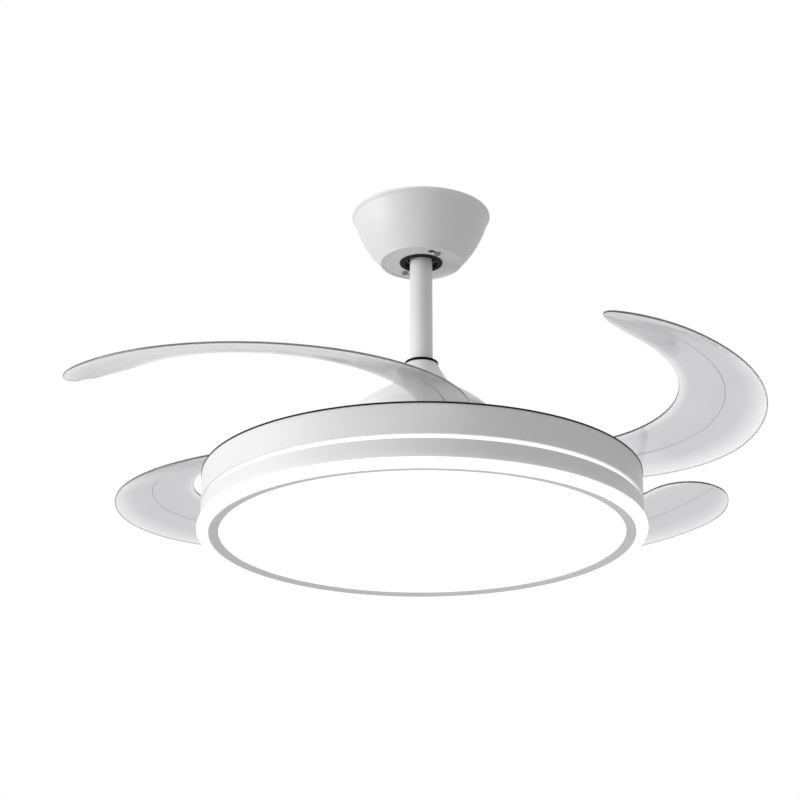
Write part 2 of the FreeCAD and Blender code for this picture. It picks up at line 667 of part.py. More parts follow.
def blade_section(share):
    """Closed six-sided section of a blade at a share of its length, root 0 to tip 1."""
    root = root_angle()
    angle = root + (BLADE_TIP_ANGLE - root) * share
    middle = 4 * share * (1 - share)
    outer = BLADE_OUTER_R - BLADE_WAIST * middle
    inner = BLADE_INNER_R + BLADE_INNER_GAIN * share - BLADE_BELLY * middle
    rounding = max(0.0, (share - TIP_START) / (1 - TIP_START))
    narrow = max(math.sqrt(max(1 - rounding ** 2, 0.0)), TIP_BLUNT)
    outer = BLADE_TIP_R + (outer - BLADE_TIP_R) * narrow
    inner = BLADE_TIP_R + (inner - BLADE_TIP_R) * narrow
    outer -= BLADE_ROOT_CUT * max(0.0, 1 - share / ROOT_START) ** 1.6
    rise = LAMP_BASE + BLADE_LOW + BLADE_RISE * share ** BLADE_RISE_POWER
    crease_r = (outer + inner) / 2

    def point(radius, lift):
        spot = polar(radius, angle, rise + BLADE_PITCH * (BLADE_OUTER_R - radius) + lift)
        return spot + Vector(BLADE_ARC_X, BLADE_ARC_Y, 0)

    crown = BLADE_CREASE * narrow
    half_sheet = BLADE_SHEET / 2
    corners = [
        point(inner, -half_sheet), point(crease_r, crown - half_sheet), point(outer, -half_sheet),
        point(outer, half_sheet), point(crease_r, crown + half_sheet), point(inner, half_sheet),
    ]
    return Part.makePolygon(corners + corners[:1])


def blade(number):
    """Sickle of clear sheet with a crease along its middle, and a flat lug that swings on the pin."""
    shares = [TIP_START * i / STATIONS for i in range(STATIONS)]
    shares += [TIP_START + (1 - TIP_START) * k for k in (0.0, 0.3, 0.55, 0.75, 0.89, 0.97, 1.0)]
    sheet = Part.makeLoft([blade_section(s) for s in shares], True, False)
    at = pivot(0)
    centre = Vector(BLADE_ARC_X, BLADE_ARC_Y, 0)
    out = (at - centre).normalize()
    reach = BLADE_INNER_R + LUG_LAP - (at - centre).Length
    width = 2 * LUG_R
    arm = block((0, reach), (-width / 2, width / 2), (LUG_Z, LUG_Z + LUG_HEIGHT))
    arm.rotate(ORIGIN, AXIS, math.degrees(math.atan2(out.y, out.x)))
    arm.translate(Vector(at.x, at.y, 0))
    lug = rod(LUG_R, LUG_Z, LUG_Z + LUG_HEIGHT, at).fuse(arm)
    shape = sheet.fuse(lug).cut(rod(BUSH_R + FIT, LUG_Z - 1, LUG_Z + LUG_HEIGHT + 1, at))
    shape = shape.removeSplitter()
    shape.rotate(ORIGIN, AXIS, 360.0 * number / BLADES)
    return shape


# Lamp


def lamp_pan():
    """Pressed steel pan: top, upper band, shelf over the lit groove and the skirt that carries the rings."""
    skirt_in = SKIRT_R - SKIRT_SHEET
    shape = turned([
        (SHAFT_R + FIT, LAMP_TOP - SHEET), (LAMP_R - BAND_SHEET, LAMP_TOP - SHEET), (LAMP_R - BAND_SHEET, HALO_HIGH + SHEET),
        (skirt_in, HALO_HIGH + SHEET), (skirt_in, SKIRT_FOOT), (SKIRT_R, SKIRT_FOOT), (SKIRT_R, HALO_HIGH),
        (LAMP_R, HALO_HIGH), (LAMP_R, LAMP_TOP - 1), (LAMP_R - 0.3, LAMP_TOP - 0.3, "via"), (LAMP_R - 1, LAMP_TOP),
        (SHAFT_R + FIT, LAMP_TOP),
    ])
    rib_r = MOTOR_R + RIB_INSET
    rib = ring(rib_r, rib_r + RIB_WIDTH, LAMP_TOP, LAMP_TOP + RIB_HEIGHT)
    return shape.fuse(rib).removeSplitter()


def top_trim():
    """Black strip along the upper edge of the lamp."""
    edge = LAMP_R - 1.0
    return turned([
        (edge - STRIP_WIDTH, LAMP_TOP), (edge, LAMP_TOP), (edge + STRIP_HEIGHT / 2, LAMP_TOP + STRIP_HEIGHT / 2, "via"),
        (edge, LAMP_TOP + STRIP_HEIGHT), (edge - STRIP_WIDTH, LAMP_TOP + STRIP_HEIGHT),
    ])


def halo_ring():
    return ring(SKIRT_R + FIT, LAMP_R - HALO_DEPTH, HALO_LOW, HALO_HIGH)


def lower_band():
    """Metal band under the lit groove: a wall with a web that grips the skirt."""
    low = LAMP_BASE + RIM_HEIGHT
    return turned([
        (LAMP_R - BAND_SHEET, low), (LAMP_R, low), (LAMP_R, HALO_LOW), (SKIRT_R + FIT, HALO_LOW),
        (SKIRT_R + FIT, HALO_LOW - BAND_SHEET), (LAMP_R - BAND_SHEET, HALO_LOW - BAND_SHEET),
    ])


def rim_light():
    """Frosted rim with a rounded lower edge, round the lamp's foot."""
    high = LAMP_BASE + RIM_HEIGHT
    edge = RIM_HEIGHT * 0.62
    return turned([
        (SKIRT_R + FIT, LAMP_BASE + 0.6), (SKIRT_R + 1, LAMP_BASE), (RIM_R - edge, LAMP_BASE),
        (RIM_R - edge * 0.29, LAMP_BASE + edge * 0.29, "via"), (RIM_R, LAMP_BASE + edge),
        (RIM_R - 0.6, high - 0.8), (RIM_R - 1.6, high), (SKIRT_R + FIT, high),
    ])


def trim_ring():
    """Grey ring that clamps the diffuser's flange under the skirt. Its face slopes in towards the diffuser."""
    inner, edge = DIFFUSER_R + FIT * 2, SKIRT_FOOT - TRIM_DEPTH
    return turned([
        (inner, edge + TRIM_SLOPE), (SKIRT_R - 0.6, edge), (SKIRT_R, edge + 0.6), (SKIRT_R, SKIRT_FOOT),
        (inner, SKIRT_FOOT),
    ])


def diffuser():
    """Opal dish with a flange. Its face is gently crowned downwards."""
    face = SKIRT_FOOT - TRIM_DEPTH + TRIM_SLOPE + FIT * 2
    flange_r = SKIRT_R - SKIRT_SHEET - FIT * 3
    wall = DIFFUSER_WALL
    flat_r = 6.0
    return turned([
        (0, face - DIFFUSER_CROWN), (flat_r, face - DIFFUSER_CROWN),
        (DIFFUSER_R * 0.52, face - DIFFUSER_CROWN * 0.74, "via"), (DIFFUSER_R - 1.5, face),
        (DIFFUSER_R - 0.4, face + 0.5, "via"), (DIFFUSER_R, face + 1.5), (DIFFUSER_R, SKIRT_FOOT),
        (flange_r, SKIRT_FOOT), (flange_r, SKIRT_FOOT + wall), (DIFFUSER_R - wall, SKIRT_FOOT + wall),
        (DIFFUSER_R - wall, face + wall), (DIFFUSER_R * 0.52, face - DIFFUSER_CROWN * 0.74 + wall, "via"),
        (flat_r, face - DIFFUSER_CROWN + wall), (0, face - DIFFUSER_CROWN + wall),
    ])


def led_panel():
    return rod(PANEL_R, PANEL_TOP - PANEL_SHEET, PANEL_TOP)


def led_chips():
    """Rings of light-emitting diodes under the panel."""
    half = CHIP / 2
    under = PANEL_TOP - PANEL_SHEET
    chip = block((-half, half), (-half, half), (under - CHIP / 5, under))
    chips = []
    for i in range(CHIP_ROWS):
        row = chip.copy()
        row.translate(Vector(PANEL_R - CHIP_ROW * (i + 0.5), 0, 0))
        chips += around(row, 8 * (CHIP_ROWS - i))
    return chips


def panel_posts():
    """Stand-offs that hang the LED panel from the pan."""
    return [rod(PANEL_POST_R, PANEL_TOP, LAMP_TOP - SHEET, polar(PANEL_POST_PCR, 90 * i + 45)) for i in range(4)]


def led_driver():
    """Driver box on the top of the LED panel."""
    half, long = DRIVER_WIDTH / 2, DRIVER_LENGTH / 2
    box = block((DRIVER_OFFSET - half, DRIVER_OFFSET + half), (-long, long), (PANEL_TOP, PANEL_TOP + DRIVER_HEIGHT))
    upright = [e for e in box.Edges if abs(e.BoundBox.ZLength - DRIVER_HEIGHT) < 1e-6]
    return box.makeFillet(3.0, upright)


def lamp_washer():
    low = LAMP_TOP - SHEET - WASHER
    return ring(SHAFT_R + FIT, SHAFT_R + 7, low, low + WASHER)


def lamp_nut():
    """Hexagon nut that clamps the lamp to the foot of the shaft."""
    high = LAMP_TOP - SHEET - WASHER
    corners = [polar(SHAFT_R + 6.5, 60 * i, high - NUT_HEIGHT) for i in range(6)]
    nut = Part.Face(Part.makePolygon(corners + corners[:1])).extrude(Vector(0, 0, NUT_HEIGHT))
    return nut.cut(rod(SHAFT_R + FIT, high - NUT_HEIGHT - 1, high + 1))


def shaft_collar():
    """Shoulder ring that the lamp is clamped against."""
    return ring(SHAFT_R + FIT, SHAFT_R + 7, LAMP_TOP, LAMP_TOP + 3.0)


def build():
    single = [
        hanger_bracket, canopy, canopy_collar, remote_receiver, terminal_block,
        hanger_ball, ball_pin, downrod, rod_coupling, coupling_pin, bell_cover, bell_seal, motor_shaft,
        stator_core, motor_upper_case, motor_lower_case, hub_lower_plate, hub_upper_plate, sync_ring,
        lamp_pan, top_trim, halo_ring, lower_band, rim_light, trim_ring, diffuser,
        led_panel, led_driver, lamp_washer, lamp_nut, shaft_collar,
    ]
    groups = [
        canopy_screws, grub_screws, stator_coils, rotor_magnets, hub_screws, pivot_posts, post_spacers, return_springs,
        led_chips, panel_posts,
    ]
    for maker in single:
        save(maker.__name__, maker())
    for maker in groups:
        save(maker.__name__, *maker())
    save("upper_bearing", bearing(BEARING_UPPER))
    save("lower_bearing", bearing(BEARING_LOWER))
    for number in range(BLADES):
        save("blade_%d" % (number + 1), blade(number))
        save("blade_gear_%d" % (number + 1), blade_gear(number))
        save("blade_bush_%d" % (number + 1), blade_bush(number))


build()
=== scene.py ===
import json
import math

import bmesh
import bpy
import numpy as np
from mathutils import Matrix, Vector


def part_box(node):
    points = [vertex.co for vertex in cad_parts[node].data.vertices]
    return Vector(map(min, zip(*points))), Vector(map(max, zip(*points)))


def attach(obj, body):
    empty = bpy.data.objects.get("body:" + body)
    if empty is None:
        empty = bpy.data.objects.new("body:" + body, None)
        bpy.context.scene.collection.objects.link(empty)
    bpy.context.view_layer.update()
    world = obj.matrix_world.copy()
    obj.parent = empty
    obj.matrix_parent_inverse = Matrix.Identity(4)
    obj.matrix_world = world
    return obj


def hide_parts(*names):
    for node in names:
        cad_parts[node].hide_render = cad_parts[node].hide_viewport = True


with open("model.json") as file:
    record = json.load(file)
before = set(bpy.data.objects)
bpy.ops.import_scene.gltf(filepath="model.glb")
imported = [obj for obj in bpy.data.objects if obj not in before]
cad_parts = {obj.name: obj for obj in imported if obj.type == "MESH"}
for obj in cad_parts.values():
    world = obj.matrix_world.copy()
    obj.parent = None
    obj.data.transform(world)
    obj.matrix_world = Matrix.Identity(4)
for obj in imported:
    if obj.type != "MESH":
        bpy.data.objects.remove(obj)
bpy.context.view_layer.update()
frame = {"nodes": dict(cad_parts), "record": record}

# A blade swung out, in metres, as its solid has it
BLADES = 4
ARC_CENTRE = np.array([0.1188, -0.1527])
PIN = np.array([0.1154454, -0.0327469])
OUTER_R = 0.2500
WAIST = 0.0054
INNER_R = 0.1522
INNER_GAIN = 0.0083
BELLY = 0.0039
TIP_R = 0.2113
TIP_START = 0.88
TIP_ANGLE = math.radians(-73.1)
ROOT_CUT = 0.0565
ROOT_CUT_POWER = 1.6
ROOT_START = 0.457
ROOT_LAP = math.radians(4.0)
ROOT_LEVEL = -0.3189
RISE = 0.0326
RISE_POWER = 2.57
PITCH = 0.294
CREASE = 0.0025

# The sheet: its thickness, the share of its width that each rounded edge takes and where the flat
# part between them starts, how its arch falls off to the edges, and how fast its end thins
SHEET = 0.0022
EDGE_SHARE = 0.008
FLAT_START = 0.02
ARCH_POWER = 3
TIP_THINNING = 6

# Steps of the sheet's grid along its length and its end, and across its flat part and an edge
LENGTH_STEPS = 90
TIP_STEPS = 30
FLAT_STEPS = 37
EDGE_STEPS = 6

# The lug that carries a blade on its pin
LUG_LEVEL = (-0.297147, -0.289147)
LUG_R = 0.0190
LUG_REACH = 0.0462
LUG_BORE = 0.0083
LUG_BEVEL = 0.0008
LUG_STEPS = 96

# Black strip on the lamp's upper edge: outside of the lamp's bands, then steps from there and from
# the strip's foot, and from its top
LAMP_R = 0.2460
STRIP_FOOT = (
    (-0.0060, 0.0), (-0.0010, 0.0), (-0.00015, -0.0001), (0.0001, -0.0006), (0.0001, -0.0010),
    (0.0005, -0.0010), (0.0005, 0.0004),
)
STRIP_TOP = ((0.0001, -0.0002), (-0.0010, 0.0), (-0.0060, 0.0))

# Black ring under the canopy's dished face: level of the face, then radii and steps from the face
COLLAR_FACE = -0.0600
COLLAR_PROFILE = (
    (0.0190, -0.0009), (0.0194, -0.0015), (0.0202, -0.0018), (0.0208, -0.0015), (0.0211, -0.0007),
    (0.0216, -0.0005), (0.0220, -0.0008), (0.0223, -0.0014), (0.0230, -0.0018), (0.0239, -0.0017),
    (0.0247, -0.0011), (0.0251, 0.0), (0.0229, 0.0), (0.0229, 0.0025), (0.0190, 0.0025),
)

# Black ring on the bell: its bore and height, the bell's upper radius, then steps from there and
# from the ring's foot
SEAL_BORE_R = 0.0134
SEAL_HEIGHT = 0.0027
BELL_TOP_R = 0.0186
SEAL_PROFILE = (
    (-0.0010, 0.0), (-0.0001, -0.0001), (0.0001, -0.0009), (0.0005, -0.0009), (0.0007, 0.0004),
    (0.0005, 0.0016), (-0.0002, 0.0024), (-0.0010, SEAL_HEIGHT),
)

# Steps round the axis of the three black rings
ROUND_STEPS = 240

# Coils on the stator's teeth. The corner powers shape the outside and the bore.
COILS = 12
COIL_TURNS = 20
COIL_INSIDE = 0.0319
COIL_OUTSIDE = 0.0640
COIL_BORE = 0.00535
COIL_BUILD = 0.0042
COIL_TAPER = 0.2598
COIL_RIDGE = 0.0005
COIL_CORNER = 0.35
BORE_CORNER = 0.02
TURN_STEPS = 6
LOOP_STEPS = 36

# Coil springs round the pins. The easing flattens their end turns.
SPRING_R = 0.0101
SPRING_WIRE_R = 0.00075
SPRING_TURNS = 3.75
SPRING_EASING = 0.6
HELIX_STEPS = 160
WIRE_STEPS = 12

# Where the photograph was taken from
CAMERA_PLACE = (0.0, -2.33499, -1.12366)
CAMERA_PITCH = math.radians(20.925)
CAMERA_YAW = math.radians(0.602)
CAMERA_LENS = 99.0
SENSOR = 36.0

# Pale floor far below, and strength of the surround's light
FLOOR_Z = -3.4
FLOOR_HALF = 40.0
FLOOR_STEPS = 9
FLOOR_GLOW = 0.45
AMBIENT = 0.42

# Studio lights: place, size and watts. All face one point in the fan's middle.
LIGHT_TARGET = (0.0, 0.0, -0.25)
LIGHTS = {
    "key_light": ((-2.88, -0.8, -0.4), 1.6, 53.0),
    "fill_light": ((0.6, -2.4, -1.6), 1.6, 3.0),
    "top_light": ((-0.5, -0.5, 1.9), 1.2, 14.0),
}

# Points nearer than this are merged, and edges shorter than this are taken out
MERGE_GAP = 1e-6
SHORT_EDGE = 1e-7


class Finish:
    """A material and its node tree, with short calls for the nodes that the finishes need."""

    def __init__(self, name):
        self.material = bpy.data.materials.new(name)
        self.material.use_nodes = True
        self.nodes = self.material.node_tree.nodes
        self.links = self.material.node_tree.links
        self.shader = self.nodes["Principled BSDF"]

    def node(self, kind, **settings):
        """New node with its settings."""
        made = self.nodes.new(kind)
        for key, value in settings.items():
            setattr(made, key, value)
        return made

    def join(self, source, target):
        """Link from an output to an input."""
        self.links.new(source, target)

    def feed(self, socket, source):
        """Leads a node's output to one of the shader's sockets."""
        self.join(source, self.shader.inputs[socket])

    def set(self, **values):
        """Constants on the shader's own sockets. An underscore stands for a space in a name."""
        for key, value in values.items():
            self.shader.inputs[key.replace("_", " ")].default_value = value

    def place(self, scale=(1, 1, 1)):
        """Object coordinates, scaled."""
        coords = self.node("ShaderNodeTexCoord")
        mapping = self.node("ShaderNodeMapping")
        mapping.inputs["Scale"].default_value = scale
        self.join(coords.outputs["Object"], mapping.inputs["Vector"])
        return mapping.outputs["Vector"]

    def noise(self, vector, scale, detail=3.0):
        """Cloudy noise over a place."""
        made = self.node("ShaderNodeTexNoise")
        made.inputs["Scale"].default_value = scale
        made.inputs["Detail"].default_value = detail
        self.join(vector, made.inputs["Vector"])
        return made.outputs["Fac"]

    def ramp(self, source, *stops):
        """Colour ramp from (position, grey or colour) stops."""
        made = self.node("ShaderNodeValToRGB")
        band = made.color_ramp
        while len(band.elements) < len(stops):
            band.elements.new(0.5)
        for element, (position, colour) in zip(band.elements, stops):
            element.position = position
            element.color = (*as_colour(colour), 1.0)
        self.join(source, made.inputs["Fac"])
        return made.outputs["Color"]

    def blotch(self, source, dark, light):
        """Colour that drifts between two tints with a noise."""
        return self.ramp(source, (0.3, dark), (0.7, light))

    def span(self, source, low, high):
        """Number that drifts between two values with a noise."""
        made = self.node("ShaderNodeMapRange")
        ends = (("From Min", 0.3), ("From Max", 0.7), ("To Min", low), ("To Max", high))
        for key, value in ends:
            made.inputs[key].default_value = value
        self.join(source, made.inputs["Value"])
        return made.outputs["Result"]

    def maths(self, operation, first, second):
        """Sum or product of two outputs or numbers."""
        made = self.node("ShaderNodeMath", operation=operation)
        for socket, value in zip(made.inputs, (first, second)):
            if isinstance(value, (int, float)):
                socket.default_value = value
            else:
                self.join(value, socket)
        return made.outputs["Value"]

    def mix(self, factor, first, second):
        """Blend of two colours by a factor."""
        made = self.node("ShaderNodeMix", data_type="RGBA")
        self.join(factor, made.inputs["Factor"])
        for key, value in (("A", first), ("B", second)):
            socket = [s for s in made.inputs if s.name == key and s.type == "RGBA"][0]
            if isinstance(value, (int, float, tuple)):
                socket.default_value = (*as_colour(value), 1.0)
            else:
                self.join(value, socket)
        return [s for s in made.outputs if s.type == "RGBA"][0]

    def bump(self, height, strength, distance):
        """Fine relief on the shader from a height."""
        made = self.node("ShaderNodeBump")
        made.inputs["Strength"].default_value = strength
        made.inputs["Distance"].default_value = distance
        self.join(height, made.inputs["Height"])
        self.feed("Normal", made.outputs["Normal"])


def as_colour(value):
    """Three channels from a grey level or a colour."""
    return (value, value, value) if isinstance(value, (int, float)) else tuple(value)


def cool(level):
    """Grey with a trace more blue and less green."""
    return level, level * 0.992, level * 1.025


def powder_coat(name, level):
    """White powder coat: faint mottling, fine orange peel and a satin coat."""
    made = Finish(name)
    place = made.place()
    made.feed("Base Color", made.blotch(made.noise(place, 9.0), level * 0.985, level))
    made.feed("Roughness", made.span(made.noise(place, 60.0), 0.46, 0.54))
    made.bump(made.noise(place, 1400.0, 2.0), 0.06, 0.0004)
    made.set(Coat_Weight=0.08, Coat_Roughness=0.3)
    return made.material


def black_rubber(name, level, gloss):
    """Moulded rubber: near black, dusty in patches, finely grained, with a little gloss."""
    made = Finish(name)
    place = made.place()
    dust = made.ramp(made.noise(place, 160.0), (0.35, level), (0.75, level * 2.2))
    made.feed("Base Color", dust)
    made.feed("Roughness", made.span(made.noise(place, 400.0), 0.5, 0.7))
    made.bump(made.noise(place, 1800.0), 0.15, 0.0003)
    made.set(Specular_IOR_Level=gloss)
    return made.material


def plated_steel(name, level):
    """Zinc plate: a metal with faint streaks and spangle."""
    made = Finish(name)
    streak = made.noise(made.place(scale=(1, 1, 12)), 90.0)
    made.feed("Base Color", made.blotch(streak, level * 0.86, level))
    made.feed("Roughness", made.span(made.noise(made.place(), 240.0), 0.24, 0.40))
    made.set(Metallic=1.0)
    return made.material


def tinted_metal(name, dark, light, roughness):
    """Metal between two tints, cloudy and layered, for the motor's iron and magnets."""
    made = Finish(name)
    made.feed("Base Color", made.blotch(made.noise(made.place(), 120.0), dark, light))
    made.set(Metallic=1.0, Roughness=roughness)
    made.bump(made.noise(made.place(scale=(1, 1, 20)), 200.0), 0.1, 0.0003)
    return made.material


def moulded_plastic(name, dark, light, roughness):
    """Moulded plastic: two close tints, a fine grain."""
    made = Finish(name)
    place = made.place()
    made.feed("Base Color", made.blotch(made.noise(place, 45.0), dark, light))
    made.feed("Roughness", made.span(made.noise(place, 200.0), roughness, roughness + 0.1))
    made.bump(made.noise(place, 1200.0), 0.1, 0.0003)
    return made.material


def lit_opal(name, strength):
    """Opal acrylic lit from behind: an even glow with a trace of cloud."""
    made = Finish(name)
    cloud = made.noise(made.place(), 6.0)
    made.feed("Emission Color", made.blotch(cloud, (0.985, 0.99, 1.0), 1.0))
    made.feed("Base Color", made.blotch(cloud, 0.44, 0.48))
    made.set(Emission_Strength=strength, Roughness=0.4)
    return made.material


def clear_acrylic(name):
    """Clear sheet, read along and across its own map: a cool grey, with painted light that pales it
    towards both edges and the root, and less so near the tip. A dark line of painted shade runs
    down the middle, with a bump and with painted highlight on pale strips beside it, and the edges
    along both sides are darkened with painted shade."""
    made = Finish(name)
    parts = made.node("ShaderNodeSeparateXYZ")
    coords = made.node("ShaderNodeTexCoord")
    made.join(coords.outputs["UV"], parts.inputs["Vector"])
    along, across = parts.outputs["X"], parts.outputs["Y"]
    cloud = made.noise(made.place(), 14.0)
    drift = made.maths("ADD", across, made.span(cloud, -0.01, 0.01))
    # Painted light: the grey pales to near white at both edges, more on the root's half than on the
    # tip's.
    inner_half_painted_light = (0.02, 0.90), (0.12, cool(0.68)), (0.50, cool(0.65))
    rootward_painted_light = made.ramp(drift, *inner_half_painted_light, (0.74, cool(0.68)), (0.87, cool(0.82)), (0.98, 0.98))
    tipward_painted_light = made.ramp(drift, *inner_half_painted_light, (0.74, cool(0.67)), (0.87, cool(0.75)), (0.98, 0.90))
    tone_and_painted_light = made.mix(made.ramp(along, (0.54, 0.0), (0.80, 1.0)), rootward_painted_light, tipward_painted_light)
    # Painted highlight: over the root's end the sheet is paled almost to white.
    with_painted_root_highlight = made.mix(made.ramp(along, (0.14, 1.0), (0.34, 0.0)), tone_and_painted_light, 0.97)
    # Painted highlight on pale strips beside the crease, and painted shade on the dark line along
    # it; the line also drives a bump.
    painted_flank_highlight = made.ramp(across, (0.502, 0.0), (0.508, 1.0), (0.542, 1.0), (0.548, 0.0))
    line = made.ramp(across, (0.517, 0.0), (0.521, 1.0), (0.529, 1.0), (0.533, 0.0))
    with_painted_crease_shade = made.mix(line, made.mix(painted_flank_highlight, with_painted_root_highlight, cool(0.71)), cool(0.40))
    # Painted shade: a dark strip along each side edge of the sheet.
    painted_edge_shade = made.ramp(across, (0.0, 1.0), (0.003, 1.0), (0.007, 0.0),
                    (0.993, 0.0), (0.997, 1.0), (1.0, 1.0))
    made.feed("Base Color", made.mix(painted_edge_shade, with_painted_crease_shade, cool(0.30)))
    made.feed("Roughness", made.span(cloud, 0.12, 0.16))
    made.bump(line, 0.3, 0.0003)
    made.set(Transmission_Weight=0.92, IOR=1.49)
    return made.material


def moulded_clear(name):
    """Clear moulded block: a faint grey cloud and a light frost."""
    made = Finish(name)
    cloud = made.noise(made.place(), 60.0)
    made.feed("Base Color", made.blotch(cloud, 0.74, 0.82))
    made.feed("Roughness", made.span(cloud, 0.14, 0.22))
    made.set(Transmission_Weight=0.8, IOR=1.49)
    return made.material


def wound_copper(name):
    """Enamelled copper wire: two tints along it and a soft gloss."""
    made = Finish(name)
    cloud = made.noise(made.place(), 90.0)
    made.feed("Base Color", made.blotch(cloud, (0.46, 0.17, 0.07), (0.62, 0.26, 0.11)))
    made.feed("Roughness", made.span(cloud, 0.28, 0.38))
    made.set(Metallic=1.0)
    return made.material


def dress():
    """Gives every solid the finish of its material slot, and returns the finishes by slot."""
    phosphor = (0.75, 0.58, 0.16), (0.85, 0.68, 0.22)
    ivory = (0.66, 0.66, 0.62), (0.72, 0.72, 0.68)
    finishes = {
        "white_paint": powder_coat("white_powder_coat", 0.82),
        "black_rubber": black_rubber("black_rubber", 0.004, 0.25),
        "black_plastic": black_rubber("black_plastic", 0.003, 0.15),
        "zinc_steel": plated_steel("zinc_plate", 0.62),
        "core_steel": tinted_metal("core_steel", 0.16, 0.22, 0.5),
        "magnet": tinted_metal("magnet", 0.05, 0.08, 0.45),
        "copper": wound_copper("copper_wire"),
        "clear_acrylic": clear_acrylic("clear_acrylic"),
        "nylon": moulded_plastic("nylon", *ivory, 0.4),
        "lit_acrylic": lit_opal("lit_opal", 0.84),
        "grey_trim": moulded_plastic("grey_trim", 0.84, 0.88, 0.45),
        "panel_white": moulded_plastic("panel_white", 0.72, 0.76, 0.5),
        "panel_alloy": plated_steel("panel_alloy", 0.74),
        "led_yellow": moulded_plastic("led_phosphor", *phosphor, 0.4),
    }
    for entry in frame["record"]["subparts"]:
        node = frame["nodes"][entry["node"]]
        node.data.materials.clear()
        node.data.materials.append(finishes[entry["material_slot"]])
    # Painted shade: the screw heads get a darker plate, which stands in for the shade in recesses
    # that they lack.
    screws = frame["nodes"]["canopy_screws"]
    screws.data.materials[0] = plated_steel("steel_with_painted_recess_shade", 0.26)
    return finishes


def grid_mesh(name, points, closed=(False, False), chart=None):
    """Mesh object of one (rows, columns, 3) array of points, with a quad between each four
    neighbours. Closed says whether the rows and the columns run round to their start. Chart gives
    each point's place in the map."""
    rows, columns = points.shape[:2]
    index = np.arange(rows * columns).reshape(rows, columns)
    if closed[0]:
        index = np.concatenate([index, index[:1]], 0)
    if closed[1]:
        index = np.concatenate([index, index[:, :1]], 1)
    corners = [index[:-1, :-1], index[:-1, 1:], index[1:, 1:], index[1:, :-1]]
    quads = np.stack(corners, -1).reshape(-1, 4)
    mesh = bpy.data.meshes.new(name)
    mesh.from_pydata(points.reshape(-1, 3).tolist(), [], quads.tolist())
    if chart is not None:
        layer = mesh.uv_layers.new(name="sheet_map")
        layer.data.foreach_set("uv", chart.reshape(-1, 2)[quads.reshape(-1)].ravel())
    made = bpy.data.objects.new(name, mesh)
    bpy.context.scene.collection.objects.link(made)
    return made


def weld(piece, degrees):
    """Merges points that fall together, turns the faces outwards, and shades smoothly below an
    angle."""
    shell = bmesh.new()
    shell.from_mesh(piece.data)
    bmesh.ops.remove_doubles(shell, verts=shell.verts, dist=MERGE_GAP)
    bmesh.ops.dissolve_degenerate(shell, dist=SHORT_EDGE, edges=shell.edges)
    bmesh.ops.recalc_face_normals(shell, faces=shell.faces)
    shell.to_mesh(piece.data)
    shell.free()
    piece.data.shade_smooth()
    piece.data.set_sharp_from_angle(angle=math.radians(degrees))


def turned_about_axis(points, number, count):
    """Points of the first of some equal pieces round the axis, turned on to another one's place."""
    angle = 2 * math.pi * number / count
    turn = np.array([
        [math.cos(angle), -math.sin(angle), 0],
        [math.sin(angle), math.cos(angle), 0],
        [0, 0, 1],
    ])
    return points @ turn.T


def pin_heading():
    """Direction from the centre of a blade's arcs to its pin."""
    across, ahead = PIN - ARC_CENTRE
    return math.atan2(ahead, across)


def sickle(number):
    """One blade's sheet. At a share s of its length the direction from the arcs' centre turns from
    the pin to the tip, the edges run at the inner and outer radius for s, and the level climbs with
    a power of s. Across it, at w from 0 inside to 1 outside, the sheet falls with the pitch, arches
    by the crease, and has half its thickness above and below, rounded off at both edges. The end
    narrows as a quarter ellipse."""
    easing = np.sin(np.linspace(0, math.pi / 2, TIP_STEPS))
    run = np.linspace(0, TIP_START, LENGTH_STEPS)
    along = np.concatenate([[0.0], run, TIP_START + (1 - TIP_START) * easing[1:]])
    edge = EDGE_SHARE * (1 - np.cos(np.linspace(0, math.pi / 2, EDGE_STEPS)))
    flat = np.linspace(FLAT_START, 1 - FLAT_START, FLAT_STEPS)
    width = np.concatenate([edge, flat, 1 - edge[::-1]])
    across = np.concatenate([width, width[-2:0:-1]])
    side = np.concatenate([-np.ones(width.size), np.ones(width.size - 2)])
    s, w = along[:, None], across[None, :]
    root = pin_heading() + ROOT_LAP
    angle = root + (TIP_ANGLE - root) * s
    middle = 4 * s * (1 - s)
    past_start = np.clip((s - TIP_START) / (1 - TIP_START), 0, 1)
    narrow = np.sqrt(np.clip(1 - past_start ** 2, 0, 1))
    outer = TIP_R + (OUTER_R - WAIST * middle - TIP_R) * narrow
    inner = TIP_R + (INNER_R + INNER_GAIN * s - BELLY * middle - TIP_R) * narrow
    outer = outer - ROOT_CUT * np.clip(1 - s / ROOT_START, 0, 1) ** ROOT_CUT_POWER
    radius = inner + (outer - inner) * w
    arch = CREASE * narrow * (1 - np.abs(2 * w - 1) ** ARCH_POWER)
    from_edge = np.clip(np.minimum(w, 1 - w) / EDGE_SHARE, 0, 1)
    rounded = np.sqrt(1 - (1 - from_edge) ** 2) * np.clip(narrow * TIP_THINNING, 0, 1)
    thick = SHEET * rounded
    thick[0] = 0
    level = ROOT_LEVEL + RISE * s ** RISE_POWER + PITCH * (OUTER_R - radius)
    level = level + arch + side * thick / 2
    x = ARC_CENTRE[0] + radius * np.cos(angle)
    y = ARC_CENTRE[1] + radius * np.sin(angle)
    points = turned_about_axis(np.stack([x, y, level], -1), number, BLADES)
    chart = np.stack(np.broadcast_arrays(s, w), -1)
    piece = grid_mesh("blade_sheet_%d" % (number + 1), points, (False, True), chart)
    weld(piece, 60)
    return piece


